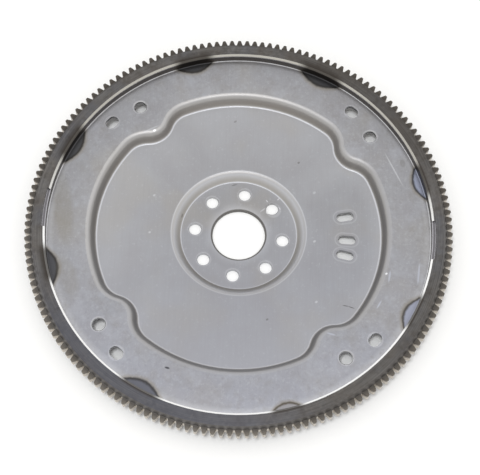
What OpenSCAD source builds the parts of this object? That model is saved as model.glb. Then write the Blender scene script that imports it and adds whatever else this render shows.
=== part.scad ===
// Flexplate: a dished steel disc welded into a starter ring gear.
// Sizes in millimetres and degrees. The origin is the centre of the hub's back face,
// which bolts to the crankshaft, and +Z points toward the torque converter.

/* [Disc sheet] */
// Thickness of the steel sheet
sheet_t = 3.2; // [2.4:0.1:4]
// Height of the hub step, hub face to web face
hub_step_h = 6.4; // [4.5:0.1:9]
// Radial width of the hub step
hub_step_w = 9.5; // [8:0.1:13]
// Flat hub face beyond the crank bolt circle
hub_margin = 11.4; // [9:0.1:15]
// Inside bend radius at the foot of the hub step
hub_foot_r = 1.2; // [0.6:0.1:2.5]
// Outside bend radius at the top of the hub step
hub_top_r = 6; // [5:0.1:8]

/* [Lobed bead] */
// Height of the drawn bead, web face to outer band face
bead_h = 10; // [6:0.1:13]
// Radial width of the bead slope
bead_w = 9.8; // [8.5:0.1:13]
// Flat pad from the converter bolt circle in to the top of the bead
pad_in = 13.7; // [11:0.1:16]
// Radius of the rounded corners beside a lobe, at the bead's foot
lobe_corner_r = 18.925; // [16:0.005:22]
// Inside bend radius at the foot of the bead
bead_bend_foot_r = 2; // [1:0.1:3]
// Outside bend radius at the top of the bead
bead_bend_top_r = 6; // [5:0.1:7]

/* [Crank holes] */
// Diameter of the crank bore
bore_d = 45.4; // [40:0.1:50]
// Rolled edge of the bore on the converter side
bore_edge = 1.3; // [0.5:0.1:2]
// Diameter of the crank bolt circle
crank_pcd = 76.2; // [70:0.1:82]
// Diameter of a crank bolt hole
crank_hole_d = 10.6; // [9:0.1:12]
// Turn of the one index hole from its even place
index_turn = 3; // [0:0.1:5]
// Teardrop point of the index hole, from its centre toward the bore
teardrop_reach = 6.8; // [6:0.1:7.4]

/* [Converter holes] */
// Diameter of the converter bolt circle
converter_pcd = 289.6; // [286:0.1:294]
// Diameter of a round converter hole
converter_hole_d = 11; // [9:0.1:13]
// Distance of the slot centres beyond the converter bolt circle
slot_out = 5.2; // [3:0.1:7]
// Turn of a slot from the round hole beside it
slot_turn = 11.1; // [9.5:0.1:14]
// Width of a slot across the tangent
slot_w = 9.5; // [8:0.1:11]
// Length of a slot along the tangent
slot_l = 12.7; // [11.5:0.1:16]
// Rolled edge of a punched hole on the converter side
punch_edge = 0.5; // [0.2:0.1:0.8]
// Distance of the disc's rim beyond the converter bolt circle
rim_out = 19; // [17:0.1:22]

/* [Web windows] */
// Distance of the window centres inside the bead's foot
window_in = 28.3; // [24:0.1:34]
// Length of a window along the radius
window_l = 15.2; // [12:0.1:18]
// Width of a window
window_w = 7.8; // [6:0.1:9]
// Angle of the first window
window_a1 = -28.2; // [-30:0.1:-25]
// Angle of the second window
window_a2 = -41.5; // [-43:0.1:-39]
// Angle of the third window
window_a3 = -50.3; // [-54:0.1:-49.5]

/* [Ring gear] */
// Number of teeth
teeth = 164; // [160:2:168]
// Radial width of the ring, bore to tooth tips
ring_w = 17.5; // [15:0.1:20]
// Pressure angle of the involute
pressure_a = 20; // [14.5:0.5:25]
// Stub addendum in modules
addendum_k = 0.8; // [0.7:0.05:1]
// Dedendum in modules
dedendum_k = 1.35; // [1:0.05:1.5]
// Relief of the tip corners
tip_relief = 0.5; // [0.2:0.1:0.8]
// Height of the ring from back face to front face
ring_h = 12.7; // [10:0.1:16]
// Distance the ring's back face stands behind the disc's back face
ring_behind = 1; // [0.5:0.1:2]
// Width of the chamfer on the inner front edge
inner_chamfer_w = 1.6; // [1:0.1:3]
// Depth of the chamfer on the inner front edge
inner_chamfer_h = 1.3; // [0.8:0.1:3]
// Radial distance of the front shoulder inside the tooth tips
shoulder_in = 6.7; // [5:0.1:9]
// Radial width of the shoulder's slope
shoulder_w = 1.8; // [1:0.1:3]
// Drop of the shoulder from the front face to the tooth ends
shoulder_drop = 3.4; // [1.5:0.1:4.5]
// Angle covered by each of the two steps in the chamfer
step_span = 12.2; // [8:0.1:16]
// Radial width of a step
step_w = 2.8; // [2:0.1:4]
// Depth of a step below the ring's front face
step_depth = 2; // [1.5:0.1:4]
// Angle of the middle of the first step
step_at = -42.1; // [-46:0.1:-38]

/* [Weld beads] */
// Angle between the two beads beside a converter pad
weld_pair_a = 48.3; // [44:0.1:52]
// Turn of the bead pattern from the pads
weld_turn = 0.8; // [0:0.1:2]
// Length of a bead along the seam
weld_l = 32; // [26:0.1:40]
// Radius of the bead's round
weld_round_r = 5.2; // [4:0.1:6]
// Height of the bead above the ring's back face
weld_proud = 2.3; // [1.5:0.1:3]
// Height left at the tapered ends of a bead
weld_end = 0.6; // [0.3:0.1:1]

/* [Hidden] */

pads = 4;
crank_n = 8;
// Segments in each bend of the sheet
bend_n = 4;
// Flat tail that laps each formed section into its neighbour
lap = 2;
// Overrun of a cutter past the face that it opens
over = 1;
// Step of the lobe layout's unit, which keeps all its points on whole hundredths
layout_step = 0.015;

web_z = hub_step_h;
band_z = web_z + bead_h;
band_top_z = band_z + sheet_t;
ring_z = band_z - ring_behind;
ring_top_z = ring_z + ring_h;

// Radii from the two bolt circles outward
hub_flat_r = crank_pcd / 2 + hub_margin;
bead_foot_r = converter_pcd / 2 - pad_in - bead_w;
slot_centre_r = converter_pcd / 2 + slot_out;
window_centre_r = bead_foot_r - window_in;
rim_r = converter_pcd / 2 + rim_out;
ring_bore_r = rim_r;
tip_r = ring_bore_r + ring_w;
shoulder_r = tip_r - shoulder_in;

// Lobe outline: corner arcs that touch the foot circle, and a hollow that touches both corners.
// The layout uses the 63-16-65 and 3-4-5 triangles, so the arcs meet exactly.
lobe_unit = layout_step * round((bead_foot_r - lobe_corner_r) / 65 / layout_step);
corner_x = 63 * lobe_unit;
corner_y = 16 * lobe_unit;
corner_r = bead_foot_r - 65 * lobe_unit;
hollow_x = corner_x + corner_y * 4 / 3;
lobe_hollow_r = corner_y * 5 / 3 - corner_r;
lobe_a = atan2(16, 63);
hollow_a = atan2(3, 4);

// Gear: module from the tip radius, then pitch, root and base circles
gear_m = tip_r / (teeth / 2 + addendum_k);
pitch_r = gear_m * teeth / 2;
root_r = pitch_r - dedendum_k * gear_m;
base_r = pitch_r * cos(pressure_a);
relief_a = tip_relief * 0.6 / tip_r * 180 / PI;

function involute(a) = tan(a) * 180 / PI - a;
function half_tooth(r) = 90 / teeth + involute(pressure_a) - involute(acos(base_r / r));
function polar(r, a) = [r * cos(a), r * sin(a)];
function arc(c, r, a0, a1, n) = [for (i = [0:n]) c + polar(r, a0 + (a1 - a0) * i / n)];

// Slope angle of a step with two bends joined by a straight run
function slope(w, h, s) = atan2(h - s, w) + atan2(s, sqrt(w * w + (h - s) * (h - s) - s * s));

// Section of a step in the sheet: foot at the left, top at the right, a flat lap at each end
function step_section(w, h, foot, top) =
    let (a = slope(w, h, foot + top))
    let (low = [0, sheet_t + foot])
    let (high = [w, sheet_t + h - top])
    concat(
        [[-lap, 0], [-lap, sheet_t]],
        arc(low, foot, -90, a - 90, bend_n),
        arc(high, top, 90 + a, 90, bend_n),
        [[w + lap, sheet_t + h], [w + lap, h]],
        arc(high, top - sheet_t, 90, 90 + a, bend_n),
        arc(low, foot + sheet_t, a - 90, -90, bend_n)
    );

// Outline of the lobed path round the first quarter and on, moved outward by d
function quarter_path(d) = concat(
    arc([hollow_x, 0], lobe_hollow_r - d, 180, 180 - hollow_a, 4),
    arc([corner_x, corner_y], corner_r + d, -hollow_a, lobe_a, 8),
    arc([0, 0], bead_foot_r + d, lobe_a, 90 - lobe_a, 24),
    arc([corner_y, corner_x], corner_r + d, 90 - lobe_a, 90 + hollow_a, 8),
    arc([0, hollow_x], lobe_hollow_r - d, 270 + hollow_a, 270, 4)
);
function turn(p, a) = [p[0] * cos(a) - p[1] * sin(a), p[0] * sin(a) + p[1] * cos(a)];
function lobe_path(d) = [for (k = [0:pads - 1]) for (p = quarter_path(d)) turn(p, 360 / pads * k)];

// One tooth, from its right root to its left root
function tooth(k) =
    let (a = 360 / teeth * k)
    let (mid_r = (root_r + tip_r) / 2)
    [
        polar(root_r, a - half_tooth(root_r)),
        polar(mid_r, a - half_tooth(mid_r)),
        polar(tip_r - tip_relief, a - half_tooth(tip_r - tip_relief)),
        polar(tip_r, a - half_tooth(tip_r) + relief_a),
        polar(tip_r, a + half_tooth(tip_r) - relief_a),
        polar(tip_r - tip_relief, a + half_tooth(tip_r - tip_relief)),
        polar(mid_r, a + half_tooth(mid_r)),
        polar(root_r, a + half_tooth(root_r))
    ];

module bead_section() {
    polygon(step_section(bead_w, bead_h, bead_bend_foot_r, bead_bend_top_r));
}

// Part of the bead on one arc, cut from a full turn by a wedge; the middle of an
// inside arc lies on the web side
module bead_arc(centre, r, inside, wedge, fn) {
    intersection() {
        translate(centre)
            rotate_extrude($fn = fn)
                translate([r, 0])
                    mirror([inside ? 0 : 1, 0])
                        bead_section();
        translate([0, 0, -over])
            linear_extrude(sheet_t + bead_h + 2 * over)
                polygon(wedge);
    }
}

// One lobe on the X axis and the plain stretch that follows it
module bead_quarter() {
    near = [corner_x, corner_y];
    far = [corner_x, -corner_y];
    next = [corner_y, corner_x];
    hollow = [hollow_x, 0];
    bead_arc([0, 0, 0], bead_foot_r, true, [[0, 0], 2 * near, 1.5 * (near + next), 2 * next], 120);
    bead_arc([near[0], near[1], 0], corner_r, true, [near, hollow, 2 * hollow, 2 * near], 48);
    bead_arc([far[0], far[1], 0], corner_r, true, [far, 2 * far, 2 * hollow, hollow], 48);
    bead_arc([hollow_x, 0, 0], lobe_hollow_r, false, [hollow, near, far], 40);
}

module lobed_bead() {
    translate([0, 0, web_z])
        for (k = [0:pads - 1])
            rotate(360 / pads * k)
                bead_quarter();
}

// Hub face, hub step and the inner part of the web, turned in one piece
module hub_and_step() {
    step = step_section(hub_step_w, hub_step_h, hub_foot_r, hub_top_r);
    rotate_extrude($fn = 96) {
        translate([hub_flat_r, 0])
            polygon(step);
        difference() {
            translate([bore_d / 2, 0])
                square([hub_flat_r - lap / 2 - bore_d / 2, sheet_t]);
            polygon(concat(
                [[bore_d / 2 - over, sheet_t + over], [bore_d / 2 - over, sheet_t - bore_edge]],
                arc([bore_d / 2 + bore_edge, sheet_t - bore_edge], bore_edge, 180, 90, bend_n),
                [[bore_d / 2 + bore_edge, sheet_t + over]]
            ));
        }
    }
}

module web() {
    translate([0, 0, web_z])
        linear_extrude(sheet_t)
            difference() {
                polygon(lobe_path(-lap / 2));
                circle(r = hub_flat_r + hub_step_w + lap / 2, $fn = 96);
            }
}

module outer_band() {
    translate([0, 0, band_z])
        linear_extrude(sheet_t)
            difference() {
                circle(r = rim_r, $fn = teeth);
                polygon(lobe_path(bead_w + lap / 2));
            }
}

// Round punched hole with its edge rolled in on the converter side
module punched(d, z) {
    translate([0, 0, z - over])
        cylinder(d = d, h = sheet_t + 2 * over, $fn = 32);
    translate([0, 0, z + sheet_t - punch_edge])
        cylinder(d1 = d, d2 = d + 4 * punch_edge, h = 2 * punch_edge, $fn = 32);
}

// Long punched hole with round ends, length along X
module long_hole(l, w, z) {
    translate([0, 0, z - over])
        linear_extrude(sheet_t + 2 * over) {
            square([l - w, w], center = true);
            for (x = [-1, 1])
                translate([x * (l - w) / 2, 0])
                    circle(d = w, $fn = 28);
        }
}

// The two sides of the teardrop touch the hole and meet in its point
module teardrop(z) {
    touch_a = acos(crank_hole_d / 2 / teardrop_reach);
    translate([0, 0, z - over])
        linear_extrude(sheet_t + 2 * over)
            polygon([
                [0, 0],
                polar(crank_hole_d / 2, 180 - touch_a),
                [-teardrop_reach, 0],
                polar(crank_hole_d / 2, 180 + touch_a)
            ]);
}

module crank_holes() {
    for (k = [1:crank_n - 1])
        rotate(360 / crank_n * k)
            translate([crank_pcd / 2, 0, 0])
                punched(crank_hole_d, 0);
    rotate(index_turn)
        translate([crank_pcd / 2, 0, 0]) {
            punched(crank_hole_d, 0);
            teardrop(0);
        }
}

module converter_holes() {
    for (k = [0:pads - 1]) {
        rotate(360 / pads * k)
            translate([converter_pcd / 2, 0, 0])
                punched(converter_hole_d, band_z);
        rotate(360 / pads * k + slot_turn)
            translate([slot_centre_r, 0, 0])
                rotate(90)
                    long_hole(slot_l, slot_w, band_z);
    }
}

module web_windows() {
    for (a = [window_a1, window_a2, window_a3])
        rotate(a)
            translate([window_centre_r, 0, 0])
                long_hole(window_l, window_w, web_z);
}

module flexplate_disc() {
    color([0.64, 0.64, 0.65])
        difference() {
            union() {
                hub_and_step();
                web();
                lobed_bead();
                outer_band();
            }
            crank_holes();
            converter_holes();
            web_windows();
        }
}

// Turned blank: bore, inner chamfer, front face and the shoulder down to the tooth ends
module ring_blank() {
    rotate_extrude($fn = teeth)
        polygon([
            [ring_bore_r, ring_z],
            [tip_r + over, ring_z],
            [tip_r + over, ring_top_z - shoulder_drop],
            [shoulder_r + shoulder_w, ring_top_z - shoulder_drop],
            [shoulder_r, ring_top_z],
            [ring_bore_r + inner_chamfer_w, ring_top_z],
            [ring_bore_r, ring_top_z - inner_chamfer_h]
        ]);
}

module ring_gear() {
    color([0.36, 0.35, 0.34])
        difference() {
            intersection() {
                ring_blank();
                translate([0, 0, ring_z - over])
                    linear_extrude(ring_h + 2 * over)
                        polygon([for (k = [0:teeth - 1]) for (p = tooth(k)) p]);
            }
            for (s = [0, 180])
                rotate(step_at + s - step_span / 2)
                    translate([0, 0, ring_top_z - step_depth])
                        rotate_extrude(angle = step_span, $fn = teeth)
                            translate([ring_bore_r - over, 0])
                                square([step_w + over, step_depth + over]);
        }
}

// One bead: a round run along the seam, shaped by the faces it lies on, with tapered ends
module weld_bead() {
    run_a = weld_l / ring_bore_r * 180 / PI;
    crest_z = ring_z - weld_proud - weld_end / 2;
    drop = ring_z - weld_end - crest_z;
    dome_r = (weld_l * weld_l / 4 + drop * drop) / (2 * drop);
    intersection() {
        rotate(-run_a / 2)
            rotate_extrude(angle = run_a, $fn = teeth)
                difference() {
                    translate([ring_bore_r, ring_z - weld_proud + weld_round_r])
                        circle(r = weld_round_r, $fn = 32);
                    polygon([
                        [ring_bore_r - weld_l, band_z],
                        [ring_bore_r, band_z],
                        [ring_bore_r, ring_z],
                        [ring_bore_r + weld_l, ring_z],
                        [ring_bore_r + weld_l, ring_z + weld_l],
                        [ring_bore_r - weld_l, ring_z + weld_l]
                    ]);
                }
        translate([ring_bore_r, 0, crest_z + dome_r])
            sphere(r = dome_r, $fn = 96);
    }
}

module weld_beads() {
    color([0.3, 0.29, 0.3])
        for (k = [0:pads - 1])
            for (s = [-1, 1])
                rotate(360 / pads * k + weld_turn + s * weld_pair_a / 2)
                    weld_bead();
}

flexplate_disc();
ring_gear();
weld_beads();
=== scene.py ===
# %% [markdown]
# # A flexplate on a white table
# A flexplate is the dished steel disc that joins an engine's crankshaft to the torque converter.
# A ring gear for the starter is welded round its rim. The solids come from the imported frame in
# metres, so no piece has to be placed by eye: this lesson adds the camera, the light, finer meshes
# where the real metal is rounded, and the finishes.

# %% Load the frame and keep its box
import math
import bpy
from mathutils import Matrix, Vector


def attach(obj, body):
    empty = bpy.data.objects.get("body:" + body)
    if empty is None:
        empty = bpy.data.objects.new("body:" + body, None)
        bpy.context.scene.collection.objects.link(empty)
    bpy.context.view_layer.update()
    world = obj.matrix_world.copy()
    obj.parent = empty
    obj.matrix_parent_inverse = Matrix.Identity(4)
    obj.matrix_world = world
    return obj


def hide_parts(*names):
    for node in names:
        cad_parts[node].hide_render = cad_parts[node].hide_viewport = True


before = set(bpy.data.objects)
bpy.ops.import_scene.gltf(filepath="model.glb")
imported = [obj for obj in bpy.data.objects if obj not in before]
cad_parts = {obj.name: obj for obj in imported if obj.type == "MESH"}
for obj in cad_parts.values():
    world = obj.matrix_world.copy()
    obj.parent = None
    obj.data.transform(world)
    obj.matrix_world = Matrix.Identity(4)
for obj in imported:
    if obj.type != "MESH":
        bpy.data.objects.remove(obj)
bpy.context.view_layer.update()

MM = 0.001

# %% [markdown]
# ## The camera
# The photograph looks down at about 67 degrees with a long lens, a little turned about its own axis.
# A camera at rest looks down -Z with +Y up, so it can be placed as on a stand: step back along Z,
# roll, tilt, go to the point aimed at, and last turn the stand round the object. One product of
# matrices says all that, and each number in it can be measured on the picture.

# %% Camera
PHOTO_TURN = math.radians(-39.1)
AIM = Vector((1.63, -11.10, 24.6)) * MM
TILT = math.radians(22.73)
ROLL = math.radians(2.11)
DISTANCE = 1018.5 * MM
HALF_PIXEL = 0.5 / 480
camera_data = bpy.data.cameras.new("photo_camera")
camera_data.lens = 90.51
camera_data.sensor_width = 36.0
camera_data.shift_x = -HALF_PIXEL
camera_data.shift_y = -HALF_PIXEL
camera = bpy.data.objects.new("photo_camera", camera_data)
bpy.context.scene.collection.objects.link(camera)
camera.matrix_world = (
    Matrix.Rotation(PHOTO_TURN, 4, "Z")
    @ Matrix.Translation(AIM)
    @ Matrix.Rotation(TILT, 4, "X")
    @ Matrix.Rotation(ROLL, 4, "Z")
    @ Matrix.Translation((0, 0, DISTANCE))
)
bpy.context.scene.camera = camera
print("camera at", [round(v, 3) for v in camera.location])

# %% [markdown]
# ## Colours and nodes
# Colours are written as hex values, as an image editor shows them, and a shader works in linear
# light, so one function converts them. A second small function adds a node, sets it and links it;
# every material below is built with it. Two settings come back often enough to have a name: a
# Mix node that blends colours, and a Map Range that eases in and out. On a Mix node for colours,
# input 0 is the amount, inputs 6 and 7 are the two colours, and output 2 is the result.

# %% Two helpers
BLEND = {"data_type": "RGBA"}
EASE = {"interpolation_type": "SMOOTHSTEP"}


def linear(hex_colour):
    """An sRGB hex value such as 'A0A0A0' as a linear RGBA colour."""
    channels = [int(hex_colour[i:i + 2], 16) / 255 for i in (0, 2, 4)]
    return [c / 12.92 if c <= 0.04045 else ((c + 0.055) / 1.055) ** 2.4 for c in channels] + [1.0]


def add_node(tree, kind, settings=None, inputs=None):
    """Adds one node, sets its fields and fills its inputs with numbers or other nodes' sockets."""
    made = tree.nodes.new(kind)
    for name, value in (settings or {}).items():
        setattr(made, name, value)
    for key, value in (inputs or {}).items():
        if isinstance(value, bpy.types.Node):
            value = value.outputs[0]
        if isinstance(value, bpy.types.NodeSocket):
            tree.links.new(value, made.inputs[key])
        else:
            made.inputs[key].default_value = value
    return made


print("steel grey in linear light", [round(c, 3) for c in linear("A3A3A6")])

# %% [markdown]
# ## The table
# The object lies on a large sheet of white paper. A bent backdrop would do as well, but the picture
# shows no edge of it, so a wide plane is enough. It catches the shadow and the light that falls
# through the holes.

# %% Table
bpy.ops.object.select_all(action="DESELECT")
bpy.ops.mesh.primitive_plane_add(size=14, location=(0, 0, 0))
floor = bpy.context.object
floor.name = "table_top"
# matt white paper gives the eye an even white with soft shadows and no reflection
paper = bpy.data.materials.new("white_paper_sheet")
paper.use_nodes = True
tree = paper.node_tree
tree.nodes.clear()
lit = add_node(tree, "ShaderNodeBsdfDiffuse", inputs={"Color": linear("FCFCFC")})
add_node(tree, "ShaderNodeOutputMaterial", inputs={"Surface": lit})
floor.data.materials.append(paper)
print("table", [round(v, 1) for v in floor.dimensions], "m")

# %% [markdown]
# ## The light all round
# The studio is white, so the background is pure white and bare metal mirrors white. What reaches the
# matt paper is weaker and a little warm, or the paper would burn out. A Light Path node tells the
# rays that see the world from those that only carry light, so one world gives both.

# %% World
FILL = 0.74
FILL_TINT = (1.0, 0.985, 0.96, 1)
WHITE = (1, 1, 1, 1)
world = bpy.data.worlds.new("white_studio")
bpy.context.scene.world = world
world.use_nodes = True
tree = world.node_tree
tree.nodes.clear()
path = add_node(tree, "ShaderNodeLightPath")
shown = add_node(tree, "ShaderNodeMath", {"operation": "MAXIMUM"},
                 {0: path.outputs["Is Camera Ray"], 1: path.outputs["Is Glossy Ray"]})
shown = add_node(tree, "ShaderNodeMath", {"operation": "MAXIMUM"},
                 {0: shown, 1: path.outputs["Is Transmission Ray"]})
level = add_node(tree, "ShaderNodeMapRange", inputs={"Value": shown, "To Min": FILL, "To Max": 1.0})
warm = add_node(tree, "ShaderNodeMix", BLEND, {0: shown, 6: FILL_TINT, 7: WHITE}).outputs[2]
sky = add_node(tree, "ShaderNodeBackground", inputs={"Color": warm, "Strength": level})
add_node(tree, "ShaderNodeOutputWorld", inputs={"Surface": sky})
print("world fill", FILL, "nodes", len(tree.nodes))

# %% [markdown]
# ## Two lamps
# A lamp almost straight above throws a pale pool through each bolt hole, leaves the paper under the
# dish dark and keeps a faint shadow at the lower right. It is kept out of reflections, where it
# would burn. A wider softbox gives the metal a soft glint from overhead. Both hang on an arm of one
# length, so a loop makes them from two rows.

# %% Lamps
# metres from the table to each lamp
ARM = 1.9
# name, watts, size in m, tint, turn and tilt of the arm in degrees, shown in reflections
LAMPS = (
    ("table_lamp", 13.0, 0.36, (0.98, 1.0, 1.01), -20, 15.5, False),
    ("ceiling_softbox", 2.7, 0.6, (1, 1, 1), 0, 5, True),
)
for name, watts, size, tint, turn, tilt, in_reflections in LAMPS:
    lamp_data = bpy.data.lights.new(name, "AREA")
    lamp_data.shape = "DISK"
    lamp_data.size = size
    lamp_data.energy = watts
    lamp_data.color = tint
    lamp = bpy.data.objects.new(name, lamp_data)
    bpy.context.scene.collection.objects.link(lamp)
    lamp.visible_glossy = in_reflections
    lamp.matrix_world = (
        Matrix.Rotation(PHOTO_TURN + math.radians(turn), 4, "Z")
        @ Matrix.Rotation(math.radians(tilt), 4, "X")
        @ Matrix.Translation((0, 0, ARM))
    )
    print(name, "at", [round(v, 2) for v in lamp.matrix_world.translation])
bpy.context.scene.view_settings.view_transform = "Standard"

# %% [markdown]
# ## The disc: a pressing with rounded bends
# The real disc is one sheet, pressed in a die, so every bend is smooth. The frame's mesh holds the
# same form in loose triangles. It could be modelled again from a plate, but a copy with its corners
# merged and its shallow angles shaded smooth keeps every hole where the solid has it.

# %% A merged copy of a node
def merged_copy(node, name):
    """Copies a node's mesh, merges its loose corners and leaves the copy selected in object mode."""
    made = bpy.data.objects.new(name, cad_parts[node].data.copy())
    bpy.context.scene.collection.objects.link(made)
    bpy.ops.object.select_all(action="DESELECT")
    made.select_set(True)
    bpy.context.view_layer.objects.active = made
    bpy.ops.object.mode_set(mode="EDIT")
    bpy.ops.mesh.select_all(action="SELECT")
    bpy.ops.mesh.remove_doubles(threshold=1e-6)
    bpy.ops.object.mode_set(mode="OBJECT")
    bpy.ops.mesh.customdata_custom_splitnormals_clear()
    made.data.materials.clear()
    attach(made, "root")
    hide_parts(node)
    return made


disc = merged_copy("flexplate_disc", "pressed_disc")
bpy.ops.object.shade_smooth_by_angle(angle=math.radians(28))
print("disc", len(disc.data.vertices), "corners", len(disc.data.polygons), "faces")

# %% [markdown]
# ## The levels of the dish
# The sheet lies at three heights: the hub face, the web and the outer band. The finishes below need
# these heights and the radii of the bore and the rim. They could be typed in, but read off the mesh
# they stay true when the part changes. The highest corner inside a radius gives each level.

# %% Levels in millimetres
# radii that hold the hub alone, hub and web, and the whole disc
HUB_REACH, WEB_REACH, BAND_REACH = 30, 100, 170
corners = [(corner.co.xy.length / MM, corner.co.z / MM) for corner in disc.data.vertices]
HUB_TOP, WEB_TOP, BAND_TOP = (
    max(height for reach, height in corners if reach < limit)
    for limit in (HUB_REACH, WEB_REACH, BAND_REACH)
)
BORE = min(reach for reach, height in corners)
RIM = max(reach for reach, height in corners)
print("levels", [round(v, 2) for v in (HUB_TOP, WEB_TOP, BAND_TOP)], "bore", round(BORE, 2),
      "rim", round(RIM, 2))

# %% [markdown]
# ## The ring gear: broken edges
# The teeth are hobbed and then brushed, so none of their edges is sharp. The triangles of each flat
# face are first joined again by a limited dissolve. Then a narrow bevel on every corner sharper
# than 35 degrees gives the light an edge to catch.

# %% Ring gear
ring = merged_copy("ring_gear", "starter_ring")
TIP = max(corner.co.xy.length for corner in ring.data.vertices) / MM
bpy.ops.object.mode_set(mode="EDIT")
bpy.ops.mesh.select_all(action="SELECT")
bpy.ops.mesh.dissolve_limited(angle_limit=math.radians(0.5))
bpy.ops.object.mode_set(mode="OBJECT")
edge = ring.modifiers.new("brushed_edges", "BEVEL")
edge.width = 0.22 * MM
edge.segments = 1
edge.limit_method = "ANGLE"
edge.angle_limit = math.radians(35)
bpy.ops.object.modifier_apply(modifier=edge.name)
bpy.ops.object.shade_smooth_by_angle(angle=math.radians(15))
print("ring", len(ring.data.vertices), "corners", len(ring.data.polygons), "faces, tip", round(TIP, 2))

# %% [markdown]
# ## Weld beads on the back
# Eight short welds on the hidden side join disc and ring. A bead could be cut from a cylinder, but
# it follows the seam, so one round section is spun along it in many steps. The loose ends of that
# tube are closed later.

# %% Spin one bead
SEAM = RIM * MM
BACK = 16.4 * MM
# radius of the round section and height of its middle
SECTION, SECTION_MIDDLE = 5.2 * MM, 18.3 * MM
RUN = math.radians(11.2)
STEPS = 36
bpy.ops.object.select_all(action="DESELECT")
bpy.ops.mesh.primitive_circle_add(vertices=24, radius=SECTION, location=(SEAM, 0, SECTION_MIDDLE),
                                  rotation=(math.pi / 2, 0, 0))
first_bead = bpy.context.object
bpy.ops.object.transform_apply(location=True, rotation=True, scale=True)
bpy.ops.object.mode_set(mode="EDIT")
bpy.ops.mesh.select_all(action="SELECT")
bpy.ops.mesh.spin(steps=STEPS, angle=RUN, center=(0, 0, 0), axis=(0, 0, 1))
bpy.ops.object.mode_set(mode="OBJECT")
sweep = max((math.atan2(c.co.y, c.co.x) for c in first_bead.data.vertices), key=abs)
print("bead spun over", round(math.degrees(sweep), 1), "degrees")

# %% [markdown]
# ## Ripples
# A real bead freezes in ripples as the torch moves on. Each ring of corners is drawn in toward the
# seam, more at the ends than in the middle and a little more on every second ring. Then the ends
# are closed and the part inside the metal is cut away.

# %% Ripple the bead and trim it
for i in range(STEPS + 1):
    here = sweep * i / STEPS
    bpy.ops.object.mode_set(mode="EDIT")
    bpy.ops.mesh.select_all(action="DESELECT")
    bpy.ops.object.mode_set(mode="OBJECT")
    for corner in first_bead.data.vertices:
        corner.select = abs(math.atan2(corner.co.y, corner.co.x) - here) < RUN / STEPS / 4
    along = 2 * i / STEPS - 1
    size = max(0.3, math.sqrt(1 - 0.94 * along ** 4)) * (0.9 if i % 2 else 1.0)
    bpy.ops.object.mode_set(mode="EDIT")
    bpy.ops.transform.resize(value=(size, size, size),
                             center_override=(SEAM * math.cos(here), SEAM * math.sin(here), BACK))
    bpy.ops.object.mode_set(mode="OBJECT")
bpy.ops.object.mode_set(mode="EDIT")
bpy.ops.mesh.select_all(action="SELECT")
bpy.ops.mesh.fill_holes(sides=0)
bpy.ops.mesh.select_all(action="SELECT")
bpy.ops.mesh.bisect(plane_co=(0, 0, BACK), plane_no=(0, 0, 1), clear_outer=True, use_fill=True)
bpy.ops.mesh.select_all(action="SELECT")
bpy.ops.mesh.normals_make_consistent(inside=False)
bpy.ops.object.mode_set(mode="OBJECT")
bpy.ops.object.shade_smooth_by_angle(angle=math.radians(50))
print("one bead", len(first_bead.data.polygons), "faces")

# %% [markdown]
# ## Eight beads
# The welder set two beads beside each of the four converter pads. The first bead is copied to each
# place with a mesh of its own, turned inside its mesh, so that every object stays at the origin.

# %% Eight beads round the seam
PADS = 4
# degrees from a converter hole to the middle of its pair, and from there to each bead
PAD_TURN, BEAD_ASIDE = 0.8, 24.15
beads = []
for pad in range(PADS):
    for side in (-1, 1):
        angle = math.radians(360 / PADS * pad + PAD_TURN + side * BEAD_ASIDE) - sweep / 2
        bead = bpy.data.objects.new(f"weld_bead_{len(beads) + 1}", first_bead.data.copy())
        bead.data.transform(Matrix.Rotation(angle, 4, "Z"))
        bpy.context.scene.collection.objects.link(bead)
        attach(bead, "root")
        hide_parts("weld_beads")
        beads.append(bead)
bpy.data.objects.remove(first_bead)
print("beads", len(beads))

# %% [markdown]
# ## Rolled steel sheet, pressed
# Bare low-carbon sheet has a soft grey sheen. All finishes of this part are metals, so one function
# starts each of them. Object coordinates in millimetres place every pattern, so it stays on the
# metal from any side, and the radius, the angle and the facing of the surface tell the zones apart.

# %% A metal with millimetre coordinates
def start_metal(name):
    """A metal with millimetre coordinates, its radius, its angle and its facing ready to use."""
    made = bpy.data.materials.new(name)
    made.use_nodes = True
    tree = made.node_tree
    tree.nodes.clear()
    place = add_node(tree, "ShaderNodeTexCoord").outputs["Object"]
    mm = add_node(tree, "ShaderNodeVectorMath", {"operation": "SCALE"}, {0: place, "Scale": 1 / MM})
    xyz = add_node(tree, "ShaderNodeSeparateXYZ", inputs={0: mm})
    flat = add_node(tree, "ShaderNodeCombineXYZ", inputs={0: xyz.outputs[0], 1: xyz.outputs[1]})
    reach = add_node(tree, "ShaderNodeVectorMath", {"operation": "LENGTH"}, {0: flat}).outputs["Value"]
    turn = add_node(tree, "ShaderNodeMath", {"operation": "ARCTAN2"},
                    {0: xyz.outputs[1], 1: xyz.outputs[0]})
    turn = add_node(tree, "ShaderNodeMath", {"operation": "DEGREES"}, {0: turn})
    normal = add_node(tree, "ShaderNodeNewGeometry").outputs["Normal"]
    facing = add_node(tree, "ShaderNodeSeparateXYZ", inputs={0: normal})
    shader = add_node(tree, "ShaderNodeBsdfPrincipled", inputs={"Metallic": 1.0})
    add_node(tree, "ShaderNodeOutputMaterial", inputs={"Surface": shader})
    return {"material": made, "tree": tree, "mm": mm, "flat": flat, "reach": reach, "turn": turn,
            "height": xyz.outputs[2], "normal": normal, "up": facing.outputs[2], "shader": shader}


# a soft satin grey with long faint streaks and pale pinhead flecks
sheet = start_metal("cold_rolled_steel_sheet_pressed")
tree = sheet["tree"]
print("steel sheet starts with", len(tree.nodes), "nodes")

# %% [markdown]
# ## Directions in the photograph
# Wear and tint lie on certain sides of the part, and the picture shows which: the far side, the near
# left, the right. The camera's stand is turned against the frame, so a small function makes an angle
# in the picture a direction of the frame. A finish can then fade along it.

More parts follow.
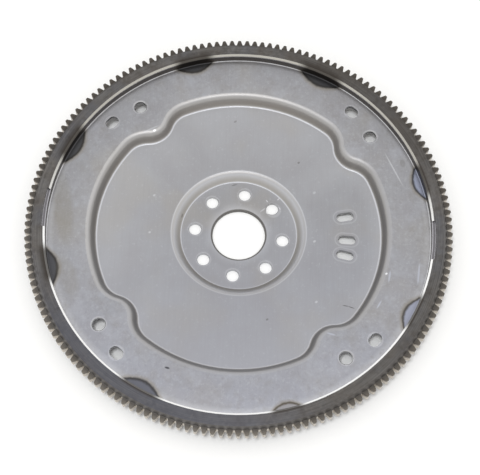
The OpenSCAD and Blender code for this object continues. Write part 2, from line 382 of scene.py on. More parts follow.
# %% A direction in the photograph
def photo_direction(degrees):
    """The level direction that points this way in the photograph, counted from its right."""
    return Matrix.Rotation(PHOTO_TURN + math.radians(degrees), 3, "Z") @ Vector((1, 0, 0))


far_side = photo_direction(90)
print("far side", [round(v, 2) for v in far_side])

# %% [markdown]
# ## Clouds, grain and flecks
# The rolls leave a faint straight grain and oil leaves cloudy stains. Each is a noise of its own
# size in millimetres; a noise stretched along one direction makes the grain. A painted picture
# would do it too, but a noise stays sharp from any distance.

# %% Steel sheet: clouds, grain and flecks
GRAIN_TURN = math.radians(90) + PHOTO_TURN
# the real grain is about 0.2 mm wide; it is drawn 1.1 mm wide to show at this distance
stretched = add_node(tree, "ShaderNodeMapping", {"vector_type": "TEXTURE"},
                     {0: sheet["mm"], "Rotation": (0, 0, GRAIN_TURN), "Scale": (26, 1.1, 26)})
grain = add_node(tree, "ShaderNodeTexNoise",
                 inputs={"Vector": stretched, "Scale": 1.0, "Detail": 3.0, "Roughness": 0.6})
clouds = add_node(tree, "ShaderNodeTexNoise",
                  inputs={"Vector": sheet["mm"], "Scale": 1 / 34, "Detail": 5.0, "Roughness": 0.62})
stains = add_node(tree, "ShaderNodeTexNoise", {"noise_dimensions": "4D"},
                  {"Vector": sheet["mm"], "W": 3.0, "Scale": 1 / 55, "Detail": 4.0})
flecks = add_node(tree, "ShaderNodeTexNoise",
                  inputs={"Vector": sheet["mm"], "Scale": 1 / 2.2, "Detail": 2.0})
amount = add_node(tree, "ShaderNodeMapRange", inputs={"Value": clouds, "From Min": 0.3, "From Max": 0.7})
colour = add_node(tree, "ShaderNodeMix", BLEND,
                  {0: amount, 6: linear("9A999C"), 7: linear("A1A2A6")}).outputs[2]
amount = add_node(tree, "ShaderNodeMapRange", EASE,
                  {"Value": stains, "From Min": 0.48, "From Max": 0.66, "To Max": 0.4})
colour = add_node(tree, "ShaderNodeMix", BLEND, {0: amount, 6: colour, 7: linear("A19C93")}).outputs[2]
amount = add_node(tree, "ShaderNodeMapRange",
                  inputs={"Value": grain, "From Min": 0.3, "From Max": 0.75, "To Max": 0.3})
colour = add_node(tree, "ShaderNodeMix", BLEND, {0: amount, 6: colour, 7: linear("939294")}).outputs[2]
amount = add_node(tree, "ShaderNodeMapRange",
                  inputs={"Value": flecks, "From Min": 0.62, "From Max": 0.78, "To Max": 0.25})
colour = add_node(tree, "ShaderNodeMix", BLEND, {0: amount, 6: colour, 7: linear("C8C9CE")}).outputs[2]
# toward the near side the steel looks a little bluer
away = add_node(tree, "ShaderNodeVectorMath", {"operation": "DOT_PRODUCT"},
                {0: sheet["flat"], 1: far_side}).outputs["Value"]
amount = add_node(tree, "ShaderNodeMapRange",
                  inputs={"Value": away, "From Min": 30.0, "From Max": -150.0, "To Max": 0.35})
colour = add_node(tree, "ShaderNodeMix", BLEND, {0: amount, 6: colour, 7: linear("9EA1B0")}).outputs[2]
print("steel sheet nodes", len(tree.nodes))

# %% [markdown]
# ## Painted light on the bends
# The foot of each bend carries a thin painted highlight, its crest a pale painted highlight, and the
# slope between them painted shade that is also browner. Lines could be drawn along the bends, but
# the tilt of the surface already tells where they are, so the masks follow the bead round its lobes
# by themselves.

# %% Masks for the bends
open_side = add_node(tree, "ShaderNodeMapRange",
                     inputs={"Value": sheet["up"], "From Min": 0.15, "From Max": 0.35})
# painted shade on the slopes of the bends
slope = add_node(tree, "ShaderNodeMapRange", EASE,
                 {"Value": sheet["up"], "From Min": 0.985, "From Max": 0.75, "To Max": 0.75})
slope = add_node(tree, "ShaderNodeMath", {"operation": "MULTIPLY"}, {0: slope, 1: open_side})
bent = add_node(tree, "ShaderNodeMapRange",
                inputs={"Value": sheet["up"], "From Min": 0.9995, "From Max": 0.99})
bent = add_node(tree, "ShaderNodeMath", {"operation": "MULTIPLY"}, {0: bent, 1: open_side})
# the painted highlight is stronger at the feet on the far side, and at the crests on the far left
foot_highlight = add_node(tree, "ShaderNodeMapRange", EASE,
                    {"Value": away, "From Min": -110.0, "From Max": 30.0, "To Min": 0.45})
foot_highlight = add_node(tree, "ShaderNodeMath", {"operation": "MULTIPLY"}, {0: foot_highlight, 1: bent})
crest_highlight = add_node(tree, "ShaderNodeVectorMath", {"operation": "DOT_PRODUCT"},
                     {0: sheet["flat"], 1: photo_direction(126.87)}).outputs["Value"]
crest_highlight = add_node(tree, "ShaderNodeMapRange", EASE,
                     {"Value": crest_highlight, "From Min": -60.0, "From Max": 110.0, "To Min": 0.3,
                      "To Max": 0.75})
crest_highlight = add_node(tree, "ShaderNodeMath", {"operation": "MULTIPLY"}, {0: crest_highlight, 1: bent})
# the slopes are painted lighter on the far half
far_half = add_node(tree, "ShaderNodeMapRange", EASE,
                    {"Value": away, "From Min": 10.0, "From Max": 110.0})
print("bend mask nodes", len(tree.nodes))

# %% [markdown]
# ## Slopes, feet and crests
# The dish has two slopes, from the hub up to the web and from the web up to the band. Both are
# painted in the same way at their own heights, so one loop colours them: first the slope, painted
# darker with a pale foot and lighter on the far half, then a painted highlight along the foot, then
# one along the crest. Part of the brown is the unlit room that a real slope mirrors; it is painted
# into the colour here as painted shade, so the scene needs no walls.

# %% Slopes, bright feet and pale crests
# mm above the foot and below the top where the painted highlights run
FOOT_LINE, CREST_LINE = 0.2, 0.35
# foot and top of each slope and the height where it turns lighter in mm, then the colours of its
# lower part on the near and on the far half, and of its upper part
SLOPES = (
    (HUB_TOP, WEB_TOP, 4.6, "A8A49E", "BCB8B2", "D2D3D7"),
    (WEB_TOP, BAND_TOP, 12.8, "928E88", "A8A198", "B0AEAB"),
)
for foot, top, turns, lower, far_lower, upper in SLOPES:
    here = add_node(tree, "ShaderNodeMath", {"operation": "COMPARE"},
                    {0: sheet["height"], 1: (foot + top) / 2, 2: (top - foot) / 2})
    bend = add_node(tree, "ShaderNodeMapRange", EASE,
                    {"Value": sheet["height"], "From Min": foot, "From Max": turns})
    rise = add_node(tree, "ShaderNodeMapRange", EASE,
                    {"Value": sheet["height"], "From Min": turns, "From Max": top})
    tone = add_node(tree, "ShaderNodeMix", BLEND,
                    {0: far_half, 6: linear(lower), 7: linear(far_lower)}).outputs[2]
    tone = add_node(tree, "ShaderNodeMix", BLEND, {0: bend, 6: linear("C0BCB6"), 7: tone}).outputs[2]
    tone = add_node(tree, "ShaderNodeMix", BLEND, {0: rise, 6: tone, 7: linear(upper)}).outputs[2]
    amount = add_node(tree, "ShaderNodeMath", {"operation": "MULTIPLY"}, {0: slope, 1: here})
    colour = add_node(tree, "ShaderNodeMix", BLEND, {0: amount, 6: colour, 7: tone}).outputs[2]
    above = add_node(tree, "ShaderNodeMath", {"operation": "SUBTRACT"},
                     {0: sheet["height"], 1: foot + FOOT_LINE})
    above = add_node(tree, "ShaderNodeMath", {"operation": "ABSOLUTE"}, {0: above})
    amount = add_node(tree, "ShaderNodeMapRange", EASE,
                      {"Value": above, "From Min": 0.5, "From Max": 0.1, "To Max": 0.8})
    amount = add_node(tree, "ShaderNodeMath", {"operation": "MULTIPLY"}, {0: amount, 1: foot_highlight})
    colour = add_node(tree, "ShaderNodeMix", BLEND, {0: amount, 6: colour, 7: linear("D2D4D9")}).outputs[2]
    below = add_node(tree, "ShaderNodeMath", {"operation": "SUBTRACT"},
                     {0: top - CREST_LINE, 1: sheet["height"]})
    below = add_node(tree, "ShaderNodeMath", {"operation": "ABSOLUTE"}, {0: below})
    amount = add_node(tree, "ShaderNodeMapRange", EASE, {"Value": below, "From Min": 1.0, "From Max": 0.1})
    amount = add_node(tree, "ShaderNodeMath", {"operation": "MULTIPLY"}, {0: amount, 1: crest_highlight})
    colour = add_node(tree, "ShaderNodeMix", BLEND, {0: amount, 6: colour, 7: linear("C6C4C2")}).outputs[2]
print("slopes", len(SLOPES), "nodes", len(tree.nodes))

# %% [markdown]
# ## Rim and bore
# The blanked rim is a thin bright line, and the sheet just inside it is painted paler, painted light
# that makes up for the dark ring wall it mirrors. The rolled edge of the crank bore is dark. Both are
# bands of the radius, so a Map Range each is enough.

# %% Rim and bore
# painted light: the sheet inside the rim is lifted against the dark wall it mirrors
rim_painted_light = add_node(tree, "ShaderNodeMapRange",
                   inputs={"Value": sheet["reach"], "From Min": RIM - 6.8, "From Max": RIM - 1.3,
                           "To Max": 0.4})
colour = add_node(tree, "ShaderNodeMix", BLEND, {0: rim_painted_light, 6: colour, 7: linear("D4D4D6")}).outputs[2]
rim = add_node(tree, "ShaderNodeMapRange", EASE,
               {"Value": sheet["reach"], "From Min": RIM - 1.1, "From Max": RIM - 0.8})
colour = add_node(tree, "ShaderNodeMix", BLEND, {0: rim, 6: colour, 7: linear("D0D0D3")}).outputs[2]
bore = add_node(tree, "ShaderNodeMapRange", EASE,
                {"Value": sheet["reach"], "From Min": BORE + 1.7, "From Max": BORE + 1.2})
colour = add_node(tree, "ShaderNodeMix", BLEND, {0: bore, 6: colour, 7: linear("6E6C6A")}).outputs[2]
print("rim and bore nodes", len(tree.nodes))

# %% [markdown]
# ## Punched holes
# The rolled edge of every hole catches the light, so a narrow painted highlight rings each hole. The
# holes repeat four times or eight times round the disc, so the angle is wrapped to one sector, and
# one distance serves all of them.

# %% Painted highlights round the holes
# sector in degrees, radius and angle of the hole in it, radius of the hole in mm, strength
HOLE_HIGHLIGHTS = (
    (90, 144.8, 0, 5.5, 0.35),
    (90, 150.0, 11.1, 5.4, 0.3),
    (45, 38.1, 0, 5.3, 0.25),
)
for sector, out, at, hole, strength in HOLE_HIGHLIGHTS:
    folded = add_node(tree, "ShaderNodeMath", {"operation": "SUBTRACT"}, {0: sheet["turn"], 1: at})
    folded = add_node(tree, "ShaderNodeMath", {"operation": "WRAP"},
                      {0: folded, 1: sector / 2, 2: -sector / 2})
    folded = add_node(tree, "ShaderNodeMath", {"operation": "RADIANS"}, {0: folded})
    aside = add_node(tree, "ShaderNodeMath", {"operation": "MULTIPLY"}, {0: folded, 1: sheet["reach"]})
    inward = add_node(tree, "ShaderNodeMath", {"operation": "SUBTRACT"}, {0: sheet["reach"], 1: out})
    apart = add_node(tree, "ShaderNodeCombineXYZ", inputs={0: aside, 1: inward})
    apart = add_node(tree, "ShaderNodeVectorMath", {"operation": "LENGTH"}, {0: apart}).outputs["Value"]
    # a painted highlight where the rolled edge of the hole catches the light
    amount = add_node(tree, "ShaderNodeMapRange", EASE,
                      {"Value": apart, "From Min": hole + 1.8, "From Max": hole + 0.9, "To Max": strength})
    colour = add_node(tree, "ShaderNodeMix", BLEND, {0: amount, 6: colour, 7: linear("D2D3D6")}).outputs[2]
print("collars", len(HOLE_HIGHLIGHTS), "nodes", len(tree.nodes))

# %% [markdown]
# ## Lines round the windows
# The stripper plate left a faint pressed line round each of the three windows; where it catches the
# light it is drawn as a faint painted highlight. A window is a long hole, so the line keeps one
# distance from a short straight stretch in its middle. A Mapping node turns the disc until that
# stretch lies along X, and the distance is then easy to work out.

# %% Pressed lines
WINDOW_ANGLES = (-28.2, -41.5, -50.3)
# radius of a window's middle, half of its straight stretch and the distance of the line, in mm
WINDOW_OUT, WINDOW_STRETCH, LINE_APART = 93.0, 3.9, 6.2
for at in WINDOW_ANGLES:
    local = add_node(tree, "ShaderNodeMapping", {"vector_type": "TEXTURE"},
                     {0: sheet["flat"], "Rotation": (0, 0, math.radians(at))})
    local = add_node(tree, "ShaderNodeSeparateXYZ", inputs={0: local})
    along = add_node(tree, "ShaderNodeMath", {"operation": "SUBTRACT"},
                     {0: local.outputs[0], 1: WINDOW_OUT})
    along = add_node(tree, "ShaderNodeMath", {"operation": "ABSOLUTE"}, {0: along})
    along = add_node(tree, "ShaderNodeMath", {"operation": "SUBTRACT"}, {0: along, 1: WINDOW_STRETCH})
    along = add_node(tree, "ShaderNodeMath", {"operation": "MAXIMUM"}, {0: along, 1: 0.0})
    apart = add_node(tree, "ShaderNodeCombineXYZ", inputs={0: along, 1: local.outputs[1]})
    apart = add_node(tree, "ShaderNodeVectorMath", {"operation": "LENGTH"}, {0: apart}).outputs["Value"]
    apart = add_node(tree, "ShaderNodeMath", {"operation": "SUBTRACT"}, {0: apart, 1: LINE_APART})
    apart = add_node(tree, "ShaderNodeMath", {"operation": "ABSOLUTE"}, {0: apart})
    # a painted highlight along the pressed line
    amount = add_node(tree, "ShaderNodeMapRange", EASE,
                      {"Value": apart, "From Min": 0.9, "From Max": 0.2, "To Max": 0.28})
    colour = add_node(tree, "ShaderNodeMix", BLEND, {0: amount, 6: colour, 7: linear("C4C5C9")}).outputs[2]
print("window lines", len(WINDOW_ANGLES), "nodes", len(tree.nodes))

# %% [markdown]
# ## The gripped band
# The press holds the outer band flat while it draws the bead, so the band is scuffed where the web is
# clean: small pale rubs, small dark spots and a few broad dull places. Each is a noise of its own
# size, kept to the band by the height of the surface.

# %% Scuffs on the band
band = add_node(tree, "ShaderNodeMath", {"operation": "COMPARE"}, {0: sheet["height"], 1: BAND_TOP, 2: 0.2})
# size in mm, seed, the part of the noise it takes, strength, colour
SCUFFS = (
    (2.6, 5.0, 0.52, 0.74, 0.26, "C6C8CE"),
    (3.2, 9.0, 0.54, 0.76, 0.28, "7E7C7E"),
    (9, 13.0, 0.50, 0.68, 0.28, "8C8883"),
    (14, 21.0, 0.52, 0.68, 0.28, "B4B6BE"),
)
for size, seed, start, full, strength, tone in SCUFFS:
    noise = add_node(tree, "ShaderNodeTexNoise", {"noise_dimensions": "4D"},
                     {"Vector": sheet["mm"], "W": seed, "Scale": 1 / size, "Detail": 3.0, "Roughness": 0.65})
    amount = add_node(tree, "ShaderNodeMapRange",
                      inputs={"Value": noise, "From Min": start, "From Max": full, "To Max": strength})
    amount = add_node(tree, "ShaderNodeMath", {"operation": "MULTIPLY"}, {0: amount, 1: band})
    colour = add_node(tree, "ShaderNodeMix", BLEND, {0: amount, 6: colour, 7: linear(tone)}).outputs[2]
print("scuffs", len(SCUFFS), "nodes", len(tree.nodes))

# %% [markdown]
# ## Heat tint at the welds
# Each weld on the back has coloured the sheet at the rim: a half moon of dark oxide with a straw
# edge. Where the film is thinner it turns slate blue. The eight moons differ, so each has its own
# angle, width, depth and two colours.

# %% Heat tint moons
# angle, half width in degrees, depth in mm, softness of the edge, colours of core and border
TINTS = (
    (-156.2, 6.6, 9.0, 0.12, "66676F", "464546"),
    (-113.5, 4.8, 6.6, 0.14, "939193", "5A544C"),
    (-65.4, 5.9, 8.4, 0.12, "9C9FAE", "565350"),
    (-22.2, 5.9, 8.2, 0.12, "9BA0B2", "4A4A4C"),
    (26.2, 7.0, 9.2, 0.14, "4A4A4C", "3C3B3A"),
    (67.0, 6.1, 8.6, 0.14, "4C4C4E", "3E3C3A"),
    (115.0, 6.5, 8.0, 0.14, "505052", "3E3C3A"),
    (155.8, 6.1, 8.4, 0.14, "545457", "403E3D"),
)
ragged = add_node(tree, "ShaderNodeTexNoise", inputs={"Vector": sheet["mm"], "Scale": 1 / 4, "Detail": 3.0})
ragged = add_node(tree, "ShaderNodeMapRange", inputs={"Value": ragged, "To Min": -0.1, "To Max": 0.1})
depth_in = add_node(tree, "ShaderNodeMath", {"operation": "SUBTRACT"}, {0: RIM, 1: sheet["reach"]})
for angle, half, depth, soft, inside, border in TINTS:
    aside = add_node(tree, "ShaderNodeMath", {"operation": "SUBTRACT"}, {0: sheet["turn"], 1: angle})
    aside = add_node(tree, "ShaderNodeMath", {"operation": "WRAP"}, {0: aside, 1: 180.0, 2: -180.0})
    aside = add_node(tree, "ShaderNodeMath", {"operation": "DIVIDE"}, {0: aside, 1: half})
    inward = add_node(tree, "ShaderNodeMath", {"operation": "DIVIDE"}, {0: depth_in, 1: depth})
    apart = add_node(tree, "ShaderNodeMath", {"operation": "MULTIPLY_ADD"}, {0: aside, 1: aside, 2: inward})
    apart = add_node(tree, "ShaderNodeMath", {"operation": "ADD"}, {0: apart, 1: ragged})
    straw = add_node(tree, "ShaderNodeMapRange", EASE,
                     {"Value": apart, "From Min": 1.5, "From Max": 1.0, "To Max": 0.55})
    moon = add_node(tree, "ShaderNodeMapRange", EASE,
                    {"Value": apart, "From Min": 1.0 + soft, "From Max": 1.0 - soft})
    core = add_node(tree, "ShaderNodeMapRange", EASE, {"Value": apart, "From Min": 0.88, "From Max": 0.6})
    colour = add_node(tree, "ShaderNodeMix", BLEND, {0: straw, 6: colour, 7: linear("8A8274")}).outputs[2]
    colour = add_node(tree, "ShaderNodeMix", BLEND, {0: moon, 6: colour, 7: linear(border)}).outputs[2]
    colour = add_node(tree, "ShaderNodeMix", BLEND, {0: core, 6: colour, 7: linear(inside)}).outputs[2]
print("tints", len(TINTS), "nodes", len(tree.nodes))

# %% [markdown]
# ## Marks of handling
# Scratches, dots and oil spots lie where the photograph shows them, and one bright dot with a pale
# streak is a painted highlight on a corner of the bead. Each is one slim ellipse: a Mapping node
# moves, turns and stretches it, and the distance from its middle fades it out.

# %% Scratches, dots and spots
# middle x and y, half length, half width in mm, turn in degrees, strength, colour
MARKS = (
    (141, -37, 21, 0.8, 77, 0.5, "D0D1D4"),
    (31, -107.5, 3.2, 0.5, -47, 0.8, "5A5856"),
    (34, -111.5, 3.4, 0.5, -57, 0.8, "5A5856"),
    (73.5, -108, 1.4, 1.1, 0, 0.9, "F2F3F5"),
    (-121.5, -64, 2.6, 1.1, -52, 0.9, "46464A"),
    (-38, 71.5, 1.6, 1.2, 0, 0.45, "DADBDE"),
    (-61.5, 45.5, 1.5, 1.2, 0, 0.45, "DADBDE"),
    (13.5, -90, 1.6, 1.2, 0, 0.45, "DADBDE"),
    (46.5, -46, 1.8, 1.3, 0, 0.45, "D6D7DA"),
    (75, -10, 2.0, 1.4, 0, 0.4, "CFD0D4"),
    (-29, -77.5, 1.5, 1.1, 0, 0.6, "6A6864"),
    (82, 21, 1.6, 1.2, 0, 0.6, "6A6864"),
    (62, 87, 2.0, 1.2, 0, 0.5, "74726E"),
    (151, -37, 5.0, 3.0, 60, 0.45, "82807E"),
    (74, -111.5, 6.5, 1.1, 42, 0.5, "C4C8D4"),
    (95, -124.5, 11.5, 1.1, 45, 0.5, "C4C8D4"),
    (51, -125.5, 5.0, 1.0, 22, 0.5, "C4C8D4"),
    (3, -121.5, 5.0, 1.0, -53, 0.5, "C4C8D4"),
    (39, 10.5, 1.8, 0.6, -85, 0.7, "DADBDE"),
    (48, 6, 1.8, 0.6, 4, 0.7, "DADBDE"),
    (31, 6, 4.0, 0.8, 0, 0.5, "CFCFD2"),
    (43.5, -1.5, 1.8, 0.6, -90, 0.6, "DADBDE"),
    # a painted highlight: a bright dot and a pale streak where a corner of the bead catches the light
    (-3.5, 118.5, 1.9, 1.3, -12, 0.9, "F0F0F2"),
    (-5.5, 121.5, 10, 1.0, -10, 0.4, "CFD0D4"),
    (25.5, 40, 3.4, 0.9, -20, 0.6, "727070"),
    (-29, 43, 2.6, 0.8, 40, 0.5, "706E6A"),
    (-110, 103.5, 40, 11, -120, 0.3, "8C8677"),
    (-141.5, 49.5, 24, 10, -107, 0.22, "8C8677"),
)
clean = colour
for x, y, half_length, half_width, angle, strength, tone in MARKS:
    local = add_node(tree, "ShaderNodeMapping", {"vector_type": "TEXTURE"},
                     {0: sheet["flat"], "Location": (x, y, 0), "Rotation": (0, 0, math.radians(angle)),
                      "Scale": (half_length, half_width, 1)})
    apart = add_node(tree, "ShaderNodeVectorMath", {"operation": "LENGTH"}, {0: local}).outputs["Value"]
    amount = add_node(tree, "ShaderNodeMapRange", EASE,
                      {"Value": apart, "From Min": 1.0, "From Max": 0.5, "To Max": strength})
    colour = add_node(tree, "ShaderNodeMix", BLEND, {0: amount, 6: colour, 7: linear(tone)}).outputs[2]
# the marks lie on the front only
front = add_node(tree, "ShaderNodeMath", {"operation": "GREATER_THAN"}, {0: sheet["up"], 1: 0.0})
colour = add_node(tree, "ShaderNodeMix", BLEND, {0: front, 6: clean, 7: colour}).outputs[2]
print("marks", len(MARKS), "nodes", len(tree.nodes))

# %% [markdown]
# ## Sheen of the sheet
# The grain that colours the sheet also roughens it, so the same noise drives the roughness and a
# very shallow bump. The burr on the blanked rim is matt and scatters light, so there the surface
# stops being a mirror.

# %% Finish the steel sheet
burr = add_node(tree, "ShaderNodeMath", {"operation": "SUBTRACT"}, {0: 1.0, 1: rim})
rough = add_node(tree, "ShaderNodeMapRange", inputs={"Value": grain, "To Min": 0.32, "To Max": 0.46})
bump = add_node(tree, "ShaderNodeBump", inputs={"Strength": 0.12, "Distance": 0.1 * MM, "Height": grain})
tree.links.new(colour, sheet["shader"].inputs["Base Color"])
tree.links.new(burr.outputs[0], sheet["shader"].inputs["Metallic"])
tree.links.new(rough.outputs[0], sheet["shader"].inputs["Roughness"])
tree.links.new(bump.outputs[0], sheet["shader"].inputs["Normal"])
disc.data.materials.append(sheet["material"])
print("steel sheet is done with", len(tree.nodes), "nodes")

# %% [markdown]
# ## Hardened ring steel, turned
# The ring is forged, turned and flame hardened. Its front is dark with fine rings from the lathe,
# and brown and blue patches from the flame and from oil lie over them. Each patch is one noise
# with a size of its own, laid over the colour below it. Toward their tips the teeth are paler.

# %% Ring steel: the turned front
# radius in mm from which the teeth stand free
TEETH_FROM = 175.9
# a dark oiled grey that glints in thin rings, with brown and blue places
dark = start_metal("hardened_ring_steel_turned")
tree = dark["tree"]
# lathe rings about 0.8 mm apart, coarser than the real feed of 0.2 mm
polar = add_node(tree, "ShaderNodeCombineXYZ", inputs={0: dark["reach"], 1: dark["turn"]})
polar = add_node(tree, "ShaderNodeVectorMath", {"operation": "MULTIPLY"}, {0: polar, 1: (1.3, 0.05, 1.0)})
lathe = add_node(tree, "ShaderNodeTexNoise",
                 inputs={"Vector": polar, "Scale": 1.0, "Detail": 3.0, "Roughness": 0.7})
amount = add_node(tree, "ShaderNodeMapRange", inputs={"Value": lathe, "From Min": 0.3, "From Max": 0.7})
colour = add_node(tree, "ShaderNodeMix", BLEND,
                  {0: amount, 6: linear("525050"), 7: linear("7D7B79")}).outputs[2]
# size in mm, seed, the part of the noise it takes, strength, colour
PATCHES = (
    (24, 1.0, 0.44, 0.62, 0.42, "635C55"),
    (28, 7.0, 0.50, 0.66, 0.35, "5A5D66"),
    (5, 11.0, 0.48, 0.70, 0.45, "46413C"),
    (3, 17.0, 0.55, 0.72, 0.35, "85817B"),
)
for size, seed, start, full, strength, tone in PATCHES:
    noise = add_node(tree, "ShaderNodeTexNoise", {"noise_dimensions": "4D"},
                     {"Vector": dark["mm"], "W": seed, "Scale": 1 / size, "Detail": 3.0, "Roughness": 0.6})
    amount = add_node(tree, "ShaderNodeMapRange",
                      inputs={"Value": noise, "From Min": start, "From Max": full, "To Max": strength})
    colour = add_node(tree, "ShaderNodeMix", BLEND, {0: amount, 6: colour, 7: linear(tone)}).outputs[2]
teeth = add_node(tree, "ShaderNodeMapRange", EASE,
                 {"Value": dark["reach"], "From Min": TEETH_FROM - 0.3, "From Max": TEETH_FROM + 1.1,
                  "To Max": 0.7})
tip = add_node(tree, "ShaderNodeMapRange",
               inputs={"Value": dark["reach"], "From Min": TEETH_FROM + 1.6, "From Max": TIP})
tone = add_node(tree, "ShaderNodeMix", BLEND, {0: tip, 6: linear("56524D"), 7: linear("7C756B")}).outputs[2]
colour = add_node(tree, "ShaderNodeMix", BLEND, {0: teeth, 6: colour, 7: tone}).outputs[2]
print("ring front nodes", len(tree.nodes))

# %% [markdown]
# ## Wall, steps and chamfer of the ring
# The inner wall is painted dark, as painted shade. The chamfer was cut last and is bright, and its
# white toward the near side is a painted highlight. The floor of the two steps is plain grey between
# two pale lines. They could be split off as materials of their own, but the tilt of a face against
# the direction outward tells them apart inside one material.

# %% Ring steel: wall, steps and chamfer
# height of the step floor and the radii of its outer edge and middle, in mm
STEP_FLOOR, STEP_OUT, STEP_MIDDLE = 26.1, 166.8, 165.2
outward = add_node(tree, "ShaderNodeVectorMath", {"operation": "NORMALIZE"}, {0: dark["flat"]})
outward = add_node(tree, "ShaderNodeVectorMath", {"operation": "DOT_PRODUCT"},
                   {0: outward, 1: dark["normal"]}).outputs["Value"]
# painted shade on the inner wall
wall = add_node(tree, "ShaderNodeMapRange", inputs={"Value": outward, "From Min": -0.8, "From Max": -0.95})
colour = add_node(tree, "ShaderNodeMix", BLEND, {0: wall, 6: colour, 7: linear("5E5A57")}).outputs[2]
step = add_node(tree, "ShaderNodeMath", {"operation": "COMPARE"}, {0: dark["height"], 1: STEP_FLOOR, 2: 0.3})
inner = add_node(tree, "ShaderNodeMath", {"operation": "LESS_THAN"}, {0: dark["reach"], 1: STEP_OUT})
step = add_node(tree, "ShaderNodeMath", {"operation": "MULTIPLY"}, {0: step, 1: inner})
middle = add_node(tree, "ShaderNodeMath", {"operation": "COMPARE"},
                  {0: dark["reach"], 1: STEP_MIDDLE, 2: 0.85})
tone = add_node(tree, "ShaderNodeMix", BLEND,
                {0: middle, 6: linear("BEBCC1"), 7: linear("7C7A7D")}).outputs[2]
colour = add_node(tree, "ShaderNodeMix", BLEND, {0: step, 6: colour, 7: tone}).outputs[2]
chamfer = add_node(tree, "ShaderNodeMath", {"operation": "COMPARE"}, {0: outward, 1: -0.62, 2: 0.18})
away = add_node(tree, "ShaderNodeVectorMath", {"operation": "DOT_PRODUCT"},
                {0: dark["flat"], 1: far_side}).outputs["Value"]
near = add_node(tree, "ShaderNodeMapRange", EASE, {"Value": away, "From Min": 75.0, "From Max": -20.0})
# a painted highlight: the chamfer turns white toward the near side
bright = add_node(tree, "ShaderNodeMix", BLEND,
                  {0: near, 6: linear("BEBBB3"), 7: linear("FFFFFF")}).outputs[2]
colour = add_node(tree, "ShaderNodeMix", BLEND, {0: chamfer, 6: colour, 7: bright}).outputs[2]
print("ring wall, step and chamfer nodes", len(tree.nodes))

# %% [markdown]
# ## Blued front and shoulder
# Hardening has turned the front bluer on the near left, and the shoulder, which falls from the front
# to the teeth, is an even grey. The blue is kept to level faces inside the teeth.

# %% Ring steel: blued front and shoulder
blued = add_node(tree, "ShaderNodeVectorMath", {"operation": "DOT_PRODUCT"},
                 {0: dark["flat"], 1: photo_direction(245)}).outputs["Value"]
blued = add_node(tree, "ShaderNodeMapRange", EASE,
                 {"Value": blued, "From Min": 95.0, "From Max": 165.0, "To Max": 0.5})
level = add_node(tree, "ShaderNodeMapRange",
                 inputs={"Value": dark["up"], "From Min": 0.85, "From Max": 0.95})
blued = add_node(tree, "ShaderNodeMath", {"operation": "MULTIPLY"}, {0: blued, 1: level})
rooted = add_node(tree, "ShaderNodeMapRange",
                  inputs={"Value": dark["reach"], "From Min": TEETH_FROM + 0.5,
                          "From Max": TEETH_FROM - 0.3})
blued = add_node(tree, "ShaderNodeMath", {"operation": "MULTIPLY"}, {0: blued, 1: rooted})
colour = add_node(tree, "ShaderNodeMix", BLEND, {0: blued, 6: colour, 7: linear("50535F")}).outputs[2]
shoulder = add_node(tree, "ShaderNodeMath", {"operation": "COMPARE"}, {0: outward, 1: 0.85, 2: 0.1})
raised = add_node(tree, "ShaderNodeMath", {"operation": "GREATER_THAN"}, {0: dark["up"], 1: 0.3})
shoulder = add_node(tree, "ShaderNodeMath", {"operation": "MULTIPLY"}, {0: shoulder, 1: raised})
colour = add_node(tree, "ShaderNodeMix", BLEND, {0: shoulder, 6: colour, 7: linear("706D6B")}).outputs[2]
print("blued front and shoulder nodes", len(tree.nodes))

# %% [markdown]
# ## Scorched places
# The flame took two places on the right and the outer edge of the far side darker. Each place is
# told by its direction in the photograph, and the strongest of them counts, so none adds up. The
# chamfer was cut after the flame and stays clean.

# %% Ring steel: scorched places
# direction in the photograph in degrees, strength
SCORCHED = (
    (48, 0.45),
    (318, 0.3),
)
scorch = add_node(tree, "ShaderNodeMapRange", EASE,
                  {"Value": dark["reach"], "From Min": 173.0, "From Max": 175.0, "To Max": 0.55})
far = add_node(tree, "ShaderNodeMapRange", EASE, {"Value": away, "From Min": -40.0, "From Max": 60.0})
scorch = add_node(tree, "ShaderNodeMath", {"operation": "MULTIPLY"}, {0: scorch, 1: far})
for toward, strength in SCORCHED:
    place = add_node(tree, "ShaderNodeVectorMath", {"operation": "DOT_PRODUCT"},
                     {0: dark["flat"], 1: photo_direction(toward)}).outputs["Value"]
    place = add_node(tree, "ShaderNodeMapRange", EASE,
                     {"Value": place, "From Min": 130.0, "From Max": 165.0, "To Max": strength})
    scorch = add_node(tree, "ShaderNodeMath", {"operation": "MAXIMUM"}, {0: scorch, 1: place})
upper = add_node(tree, "ShaderNodeMapRange", inputs={"Value": dark["up"], "From Min": 0.2, "From Max": 0.4})
scorch = add_node(tree, "ShaderNodeMath", {"operation": "MULTIPLY"}, {0: scorch, 1: upper})
uncut = add_node(tree, "ShaderNodeMath", {"operation": "SUBTRACT"}, {0: 1.0, 1: chamfer})
scorch = add_node(tree, "ShaderNodeMath", {"operation": "MULTIPLY"}, {0: scorch, 1: uncut})
colour = add_node(tree, "ShaderNodeMix", BLEND, {0: scorch, 6: colour, 7: linear("47423C")}).outputs[2]
print("scorched places", len(SCORCHED), "nodes", len(tree.nodes))

# %% [markdown]
# ## Tooth flanks
# The cutter left the flanks a little straw coloured. They are painted dark at the top and pale low
# down, a painted reflection of the white table. An upright face beyond the roots of the teeth is a
# flank.

# %% Ring steel: tooth flanks
upright = add_node(tree, "ShaderNodeMath", {"operation": "COMPARE"}, {0: dark["up"], 1: 0.0, 2: 0.4})
outer = add_node(tree, "ShaderNodeMath", {"operation": "GREATER_THAN"}, {0: dark["reach"], 1: TEETH_FROM})
flank = add_node(tree, "ShaderNodeMath", {"operation": "MULTIPLY"}, {0: upright, 1: outer})
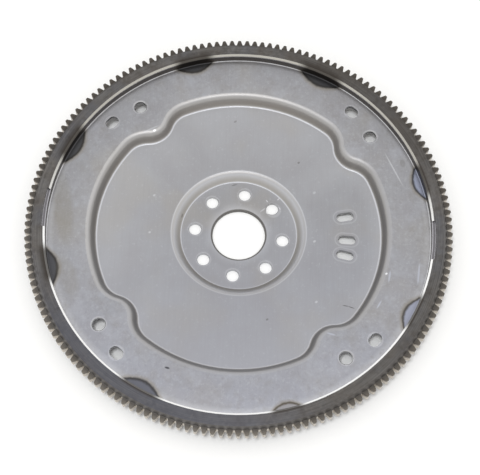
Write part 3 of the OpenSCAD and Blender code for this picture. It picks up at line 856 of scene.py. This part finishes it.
# painted reflection of the white table, strongest low down
low = add_node(tree, "ShaderNodeMapRange", EASE,
               {"Value": dark["height"], "From Min": 24.3, "From Max": 19.8})
bright = add_node(tree, "ShaderNodeMix", BLEND,
                  {0: low, 6: linear("615B54"), 7: linear("C9C2B8")}).outputs[2]
colour = add_node(tree, "ShaderNodeMix", BLEND, {0: flank, 6: colour, 7: bright}).outputs[2]
print("flank nodes", len(tree.nodes))

# %% [markdown]
# ## Smoke above the welds
# Each weld has smoked the ring next to its heat tint, so the same rows of angles and widths serve
# again. On the half with the darker tints the smoke reaches farther out.

# %% Ring steel: smoke above the welds
# radii in mm where the smoke is full and where it has faded on the near and on the far half
SMOKE_FROM, SMOKE_NEAR, SMOKE_FAR = 165.2, 168.0, 172.5
for angle, half, *_ in TINTS:
    aside = add_node(tree, "ShaderNodeMath", {"operation": "SUBTRACT"}, {0: dark["turn"], 1: angle})
    aside = add_node(tree, "ShaderNodeMath", {"operation": "WRAP"}, {0: aside, 1: 180.0, 2: -180.0})
    aside = add_node(tree, "ShaderNodeMath", {"operation": "ABSOLUTE"}, {0: aside})
    amount = add_node(tree, "ShaderNodeMapRange", EASE,
                      {"Value": aside, "From Min": half * 1.25, "From Max": half * 0.6, "To Max": 0.9})
    smoke_end = SMOKE_FAR if angle > 0 else SMOKE_NEAR
    fade = add_node(tree, "ShaderNodeMapRange", EASE,
                    {"Value": dark["reach"], "From Min": smoke_end, "From Max": SMOKE_FROM})
    amount = add_node(tree, "ShaderNodeMath", {"operation": "MULTIPLY"}, {0: amount, 1: fade})
    colour = add_node(tree, "ShaderNodeMix", BLEND, {0: amount, 6: colour, 7: linear("3E3934")}).outputs[2]
print("smoked places", len(TINTS), "nodes", len(tree.nodes))

# %% [markdown]
# ## Sheen of the ring
# The lathe rings drive the roughness and a shallow bump, as the grain does on the sheet. The freshly
# cut chamfer carries a burr that scatters light; it is made more matt on the near side, where its
# white is a painted highlight.

# %% Finish the ring steel
rough = add_node(tree, "ShaderNodeMapRange", inputs={"Value": lathe, "To Min": 0.35, "To Max": 0.55})
rough = add_node(tree, "ShaderNodeMix", inputs={0: chamfer, 2: rough, 3: 0.55})
burr = add_node(tree, "ShaderNodeMapRange", inputs={"Value": near, "To Min": 0.2, "To Max": 0.8})
burr = add_node(tree, "ShaderNodeMath", {"operation": "MULTIPLY"}, {0: burr, 1: chamfer})
burr = add_node(tree, "ShaderNodeMath", {"operation": "SUBTRACT"}, {0: 1.0, 1: burr})
bump = add_node(tree, "ShaderNodeBump", inputs={"Strength": 0.15, "Distance": 0.1 * MM, "Height": lathe})
tree.links.new(colour, dark["shader"].inputs["Base Color"])
tree.links.new(burr.outputs[0], dark["shader"].inputs["Metallic"])
tree.links.new(rough.outputs[0], dark["shader"].inputs["Roughness"])
tree.links.new(bump.outputs[0], dark["shader"].inputs["Normal"])
ring.data.materials.append(dark["material"])
print("ring steel is done with", len(tree.nodes), "nodes")

# %% [markdown]
# ## Weld metal
# The beads are left as they froze, with a thin dark film and a few bluish places. One noise of about
# 3 mm mixes two greys; the ripples are in the mesh, so no bump is needed.

# %% Weld metal
# dark, half glossy, mottled
weld = start_metal("weld_metal_rippled")
tree = weld["tree"]
film = add_node(tree, "ShaderNodeTexNoise", inputs={"Vector": weld["mm"], "Scale": 1 / 3, "Detail": 3.0})
colour = add_node(tree, "ShaderNodeMix", BLEND,
                  {0: film, 6: linear("56565C"), 7: linear("85848A")}).outputs[2]
tree.links.new(colour, weld["shader"].inputs["Base Color"])
weld["shader"].inputs["Roughness"].default_value = 0.42
for bead in beads:
    bead.data.materials.clear()
    bead.data.materials.append(weld["material"])
print("weld metal on", len(beads), "beads, nodes", len(tree.nodes))
